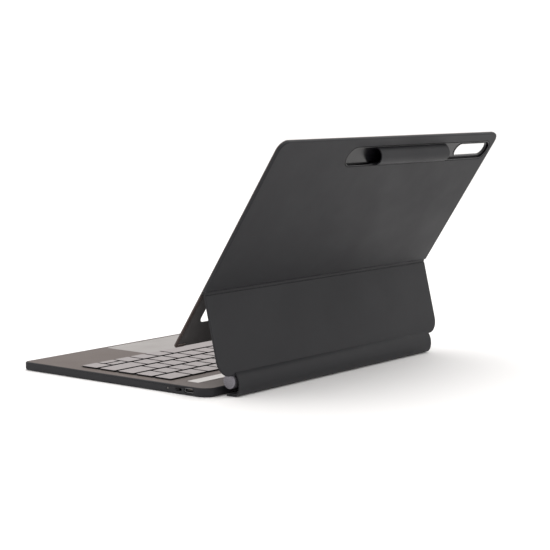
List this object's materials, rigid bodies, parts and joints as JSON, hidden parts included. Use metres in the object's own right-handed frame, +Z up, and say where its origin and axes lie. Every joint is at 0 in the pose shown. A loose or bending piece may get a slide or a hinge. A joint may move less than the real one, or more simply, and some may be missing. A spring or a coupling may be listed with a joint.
{
  "type": "tablet keyboard case",
  "caption": "Folding tablet case: thin keyboard base with trackpad, rear hinge barrel, flap and leaning back panel with stylus cover and camera window.",
  "frame": {"origin": "middle of the base's flat underside, on the desk", "axes": "+X across the width to the user's right, -Y towards the user, +Z up"},
  "size_m": [0.286, 0.2597, 0.1852],
  "materials": {
    "soft_cover": "soft-touch polyurethane laminate, fine matt grain",
    "base_wrap": "soft-touch coating moulded round the base, matt",
    "lining": "short-pile microfibre lining on glass-fibre sheet",
    "deck_finish": "warm grey sprayed polycarbonate, satin",
    "key_plastic": "moulded keycap, light warm grey, matt",
    "pad_glass": "etched glass touch surface, light warm grey",
    "satin_metal": "satin anodised strip",
    "hinge_metal": "bead-blasted anodised tube, mid grey",
    "steel": "stamped or turned steel",
    "black_plastic": "moulded black plastic",
    "circuit_board": "solder-masked glass-epoxy board",
    "cell_foil": "pouch cell in laminated foil",
    "silicone": "translucent silicone dome sheet",
    "lens": "clear light pipe"
  },
  "bodies": {
    "base": {"base_skin": "base_wrap", "base_tray": "black_plastic", "deck_plate": "deck_finish", "key_support_plate": "steel", "dome_sheet": "silicone", "logic_board": "circuit_board", "battery_left": "cell_foil", "battery_right": "cell_foil", "contact_strip": "satin_metal", "usb_c_port": "steel", "status_led": "lens", "hinge_knuckle_left": "steel", "hinge_knuckle_right": "steel", "hinge_pin_left": "steel", "hinge_pin_right": "steel", "spine_skin": "soft_cover"},
    "flap": {"barrel_center": "hinge_metal", "barrel_end_left": "hinge_metal", "barrel_end_right": "hinge_metal", "barrel_cap_left": "hinge_metal", "barrel_cap_right": "hinge_metal", "hinge_leaf_left": "steel", "hinge_leaf_right": "steel", "flap_skin": "soft_cover", "flap_board": "black_plastic", "flap_lining": "lining", "fold_hinge": "soft_cover"},
    "panel": {"panel_skin": "soft_cover", "panel_board": "black_plastic", "magnet_bar_upper": "steel", "magnet_bar_lower": "steel", "holder_plate": "lining", "stylus_tray": "black_plastic", "stylus_cover": "soft_cover", "camera_bezel": "black_plastic"},
    "trackpad": {"trackpad_glass": "pad_glass"},
    "switch_knob": {"power_switch": "black_plastic"},
    "key_grave": {"key_grave": "key_plastic"},
    "key_backspace": {"key_backspace": "key_plastic"},
    "key_tab": {"key_tab": "key_plastic"},
    "key_backslash": {"key_backslash": "key_plastic"},
    "key_caps_lock": {"key_caps_lock": "key_plastic"},
    "key_enter": {"key_enter": "key_plastic"},
    "key_shift_left": {"key_shift_left": "key_plastic"},
    "key_shift_right": {"key_shift_right": "key_plastic"},
    "key_control_left": {"key_control_left": "key_plastic"},
    "key_function": {"key_function": "key_plastic"},
    "key_menu": {"key_menu": "key_plastic"},
    "key_alt_left": {"key_alt_left": "key_plastic"},
    "key_space": {"key_space": "key_plastic"},
    "key_alt_right": {"key_alt_right": "key_plastic"},
    "key_control_right": {"key_control_right": "key_plastic"},
    "key_arrow_left": {"key_arrow_left": "key_plastic"},
    "key_arrow_up": {"key_arrow_up": "key_plastic"},
    "key_arrow_down": {"key_arrow_down": "key_plastic"},
    "key_arrow_right": {"key_arrow_right": "key_plastic"},
    "keys_number_row": {"keys_number_row": "key_plastic"},
    "keys_tab_row": {"keys_tab_row": "key_plastic"},
    "keys_caps_row": {"keys_caps_row": "key_plastic"},
    "keys_shift_row": {"keys_shift_row": "key_plastic"}
  },
  "joints": [
    {"name": "flap_hinge", "type": "hinge", "parent": "base", "child": "flap", "pos_m": [0, 0.1025, 0.0108], "axis": [1, 0, 0], "range_deg": [-6, 76.4]},
    {"name": "panel_fold", "type": "hinge", "parent": "flap", "child": "panel", "pos_m": [0, 0.09223, 0.07478], "axis": [1, 0, 0], "range_deg": [-3.8, 46.8]},
    {"name": "trackpad_click", "type": "slide", "parent": "base", "child": "trackpad", "axis": [0, 0, -1], "range_m": [0, 0.0004], "stiffness_N_per_m": 3000, "springref_m": -0.0002},
    {"name": "power_slide", "type": "slide", "parent": "base", "child": "switch_knob", "axis": [0, 1, 0], "range_m": [0, 0.0022]},
    {"name": "press_key_grave", "type": "slide", "parent": "base", "child": "key_grave", "axis": [0, 0, -1], "range_m": [0, 0.0012], "stiffness_N_per_m": 400, "springref_m": -0.0003},
    {"name": "press_key_backspace", "type": "slide", "parent": "base", "child": "key_backspace", "axis": [0, 0, -1], "range_m": [0, 0.0012], "stiffness_N_per_m": 400, "springref_m": -0.0003},
    {"name": "press_key_tab", "type": "slide", "parent": "base", "child": "key_tab", "axis": [0, 0, -1], "range_m": [0, 0.0012], "stiffness_N_per_m": 400, "springref_m": -0.0003},
    {"name": "press_key_backslash", "type": "slide", "parent": "base", "child": "key_backslash", "axis": [0, 0, -1], "range_m": [0, 0.0012], "stiffness_N_per_m": 400, "springref_m": -0.0003},
    {"name": "press_key_caps_lock", "type": "slide", "parent": "base", "child": "key_caps_lock", "axis": [0, 0, -1], "range_m": [0, 0.0012], "stiffness_N_per_m": 400, "springref_m": -0.0003},
    {"name": "press_key_enter", "type": "slide", "parent": "base", "child": "key_enter", "axis": [0, 0, -1], "range_m": [0, 0.0012], "stiffness_N_per_m": 400, "springref_m": -0.0003},
    {"name": "press_key_shift_left", "type": "slide", "parent": "base", "child": "key_shift_left", "axis": [0, 0, -1], "range_m": [0, 0.0012], "stiffness_N_per_m": 400, "springref_m": -0.0003},
    {"name": "press_key_shift_right", "type": "slide", "parent": "base", "child": "key_shift_right", "axis": [0, 0, -1], "range_m": [0, 0.0012], "stiffness_N_per_m": 400, "springref_m": -0.0003},
    {"name": "press_key_control_left", "type": "slide", "parent": "base", "child": "key_control_left", "axis": [0, 0, -1], "range_m": [0, 0.0012], "stiffness_N_per_m": 400, "springref_m": -0.0003},
    {"name": "press_key_function", "type": "slide", "parent": "base", "child": "key_function", "axis": [0, 0, -1], "range_m": [0, 0.0012], "stiffness_N_per_m": 400, "springref_m": -0.0003},
    {"name": "press_key_menu", "type": "slide", "parent": "base", "child": "key_menu", "axis": [0, 0, -1], "range_m": [0, 0.0012], "stiffness_N_per_m": 400, "springref_m": -0.0003},
    {"name": "press_key_alt_left", "type": "slide", "parent": "base", "child": "key_alt_left", "axis": [0, 0, -1], "range_m": [0, 0.0012], "stiffness_N_per_m": 400, "springref_m": -0.0003},
    {"name": "press_key_space", "type": "slide", "parent": "base", "child": "key_space", "axis": [0, 0, -1], "range_m": [0, 0.0012], "stiffness_N_per_m": 400, "springref_m": -0.0003},
    {"name": "press_key_alt_right", "type": "slide", "parent": "base", "child": "key_alt_right", "axis": [0, 0, -1], "range_m": [0, 0.0012], "stiffness_N_per_m": 400, "springref_m": -0.0003},
    {"name": "press_key_control_right", "type": "slide", "parent": "base", "child": "key_control_right", "axis": [0, 0, -1], "range_m": [0, 0.0012], "stiffness_N_per_m": 400, "springref_m": -0.0003},
    {"name": "press_key_arrow_left", "type": "slide", "parent": "base", "child": "key_arrow_left", "axis": [0, 0, -1], "range_m": [0, 0.0012], "stiffness_N_per_m": 400, "springref_m": -0.0003},
    {"name": "press_key_arrow_up", "type": "slide", "parent": "base", "child": "key_arrow_up", "axis": [0, 0, -1], "range_m": [0, 0.0012], "stiffness_N_per_m": 400, "springref_m": -0.0003},
    {"name": "press_key_arrow_down", "type": "slide", "parent": "base", "child": "key_arrow_down", "axis": [0, 0, -1], "range_m": [0, 0.0012], "stiffness_N_per_m": 400, "springref_m": -0.0003},
    {"name": "press_key_arrow_right", "type": "slide", "parent": "base", "child": "key_arrow_right", "axis": [0, 0, -1], "range_m": [0, 0.0012], "stiffness_N_per_m": 400, "springref_m": -0.0003},
    {"name": "press_keys_number_row", "type": "slide", "parent": "base", "child": "keys_number_row", "axis": [0, 0, -1], "range_m": [0, 0.0012], "stiffness_N_per_m": 600, "springref_m": -0.0003},
    {"name": "press_keys_tab_row", "type": "slide", "parent": "base", "child": "keys_tab_row", "axis": [0, 0, -1], "range_m": [0, 0.0012], "stiffness_N_per_m": 600, "springref_m": -0.0003},
    {"name": "press_keys_caps_row", "type": "slide", "parent": "base", "child": "keys_caps_row", "axis": [0, 0, -1], "range_m": [0, 0.0012], "stiffness_N_per_m": 600, "springref_m": -0.0003},
    {"name": "press_keys_shift_row", "type": "slide", "parent": "base", "child": "keys_shift_row", "axis": [0, 0, -1], "range_m": [0, 0.0012], "stiffness_N_per_m": 600, "springref_m": -0.0003}
  ],
  "couplings": [
    {"joint": "panel_fold", "follows": "flap_hinge", "ratio": 0.61126}
  ]
}
